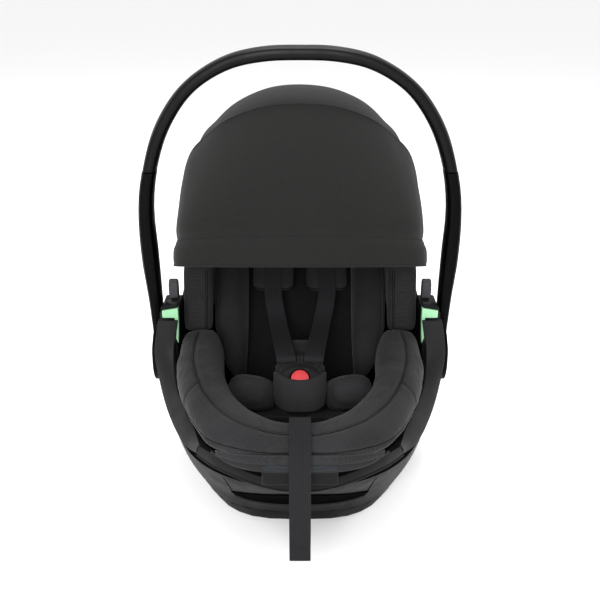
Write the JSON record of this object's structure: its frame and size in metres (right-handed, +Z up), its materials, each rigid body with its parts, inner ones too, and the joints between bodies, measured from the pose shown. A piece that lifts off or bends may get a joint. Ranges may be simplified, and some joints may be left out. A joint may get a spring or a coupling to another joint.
{
  "type": "infant car seat",
  "caption": "Infant carrier seat with a carry handle, folding canopy, reclining padded tub, sliding headrest and harness.",
  "frame": {"origin": "on the flat underside of the base tray, under the axis that the carry handle turns on, midway between the sides", "axes": "+Z up, -Y towards the foot end (the front of the picture), +Y towards the head end, +X to the right seen from the foot end"},
  "size_m": [0.4404, 0.7045, 0.595],
  "materials": {
    "shell_plastic": "fine moulded grain, charcoal black",
    "handle_plastic": "satin black, softly worn on the grip",
    "tub_plastic": "matte charcoal moulding",
    "grey_plastic": "mid grey satin moulding",
    "bar_plastic": "blue-grey satin moulding",
    "guide_plastic": "pale green, for the routes of the vehicle belt",
    "button_plastic": "red release button",
    "canopy_fabric": "fine plain weave, charcoal",
    "seat_fabric": "soft knitted cover, black",
    "webbing": "woven harness webbing, black",
    "steel": "plain steel bar"
  },
  "bodies": {
    "shell": {"outer_shell": "shell_plastic", "base_tray": "shell_plastic", "latch_bar_front": "steel", "latch_bar_rear": "steel", "front_trim": "shell_plastic", "side_trim_left": "shell_plastic", "side_trim_right": "shell_plastic", "hub_housing_left": "shell_plastic", "hub_housing_right": "shell_plastic", "hub_bolt_left": "handle_plastic", "hub_bolt_right": "handle_plastic", "belt_guide_left": "guide_plastic", "belt_guide_right": "guide_plastic", "rear_belt_guide": "guide_plastic", "canopy_rear": "canopy_fabric", "canopy_pin_left": "shell_plastic", "canopy_pin_right": "shell_plastic"},
    "carry_handle": {"handle_top": "handle_plastic", "handle_leg_left": "handle_plastic", "handle_leg_right": "handle_plastic"},
    "canopy": {"canopy_front": "canopy_fabric", "canopy_brim": "canopy_fabric", "canopy_arm_left": "shell_plastic", "canopy_arm_right": "shell_plastic"},
    "tub": {"inner_tub": "tub_plastic", "tub_front_rim": "tub_plastic", "recline_latch": "shell_plastic", "rim_pad": "seat_fabric", "head_surround": "seat_fabric", "back_pad": "seat_fabric", "seat_pad": "seat_fabric", "liner_wing_left": "seat_fabric", "liner_wing_right": "seat_fabric", "thigh_cushion_left": "seat_fabric", "thigh_cushion_right": "seat_fabric", "crotch_pad": "seat_fabric", "crotch_pocket": "seat_fabric", "crotch_strap": "webbing", "buckle_housing": "tub_plastic", "tongue_left": "tub_plastic", "tongue_right": "tub_plastic", "harness_strap_left": "webbing", "harness_strap_right": "webbing", "adjuster_plate": "tub_plastic", "adjuster_strap": "webbing"},
    "headrest": {"head_shell": "tub_plastic", "head_pad": "seat_fabric", "head_pull": "grey_plastic", "shoulder_pad_left": "seat_fabric", "shoulder_pad_right": "seat_fabric"},
    "recline_bar": {"recline_bar": "bar_plastic"},
    "buckle_button": {"buckle_button": "button_plastic"},
    "adjuster_button": {"adjuster_button": "grey_plastic"},
    "release_tab_left": {"release_tab_left": "grey_plastic"},
    "release_tab_right": {"release_tab_right": "grey_plastic"},
    "rear_lever": {"rear_lever": "grey_plastic"}
  },
  "joints": [
    {"name": "handle_turn", "type": "hinge", "parent": "shell", "child": "carry_handle", "pos_m": [0, 0, 0.165], "axis": [1, 0, 0], "range_deg": [-108, 0]},
    {"name": "canopy_fold", "type": "hinge", "parent": "shell", "child": "canopy", "pos_m": [0, 0.07, 0.276], "axis": [1, 0, 0], "range_deg": [-60, 0]},
    {"name": "tub_recline", "type": "hinge", "parent": "shell", "child": "tub", "pos_m": [0, -0.02, 0.52], "axis": [1, 0, 0], "range_deg": [-8, 0]},
    {"name": "headrest_slide", "type": "slide", "parent": "tub", "child": "headrest", "axis": [0, 0.7349, 0.6782], "range_m": [0, 0.06]},
    {"name": "recline_bar_pull", "type": "slide", "parent": "tub", "child": "recline_bar", "axis": [0, -1, 0], "range_m": [0, 0.005], "stiffness_N_per_m": 600},
    {"name": "buckle_press", "type": "slide", "parent": "tub", "child": "buckle_button", "axis": [0, 0.7431, -0.6691], "range_m": [0, 0.003], "stiffness_N_per_m": 800},
    {"name": "adjuster_press", "type": "slide", "parent": "tub", "child": "adjuster_button", "axis": [0, -0.4067, -0.9135], "range_m": [0, 0.002], "stiffness_N_per_m": 800},
    {"name": "tab_left_press", "type": "slide", "parent": "shell", "child": "release_tab_left", "axis": [0, 0, -1], "range_m": [0, 0.005], "stiffness_N_per_m": 600},
    {"name": "tab_right_press", "type": "slide", "parent": "shell", "child": "release_tab_right", "axis": [0, 0, -1], "range_m": [0, 0.005], "stiffness_N_per_m": 600},
    {"name": "rear_lever_pull", "type": "hinge", "parent": "shell", "child": "rear_lever", "pos_m": [0, 0.3363, 0.238], "axis": [1, 0, 0], "range_deg": [0, 12], "stiffness_Nm_per_rad": 0.5}
  ],
  "couplings": [
    {"joint": "tab_right_press", "follows": "tab_left_press", "ratio": 1}
  ]
}
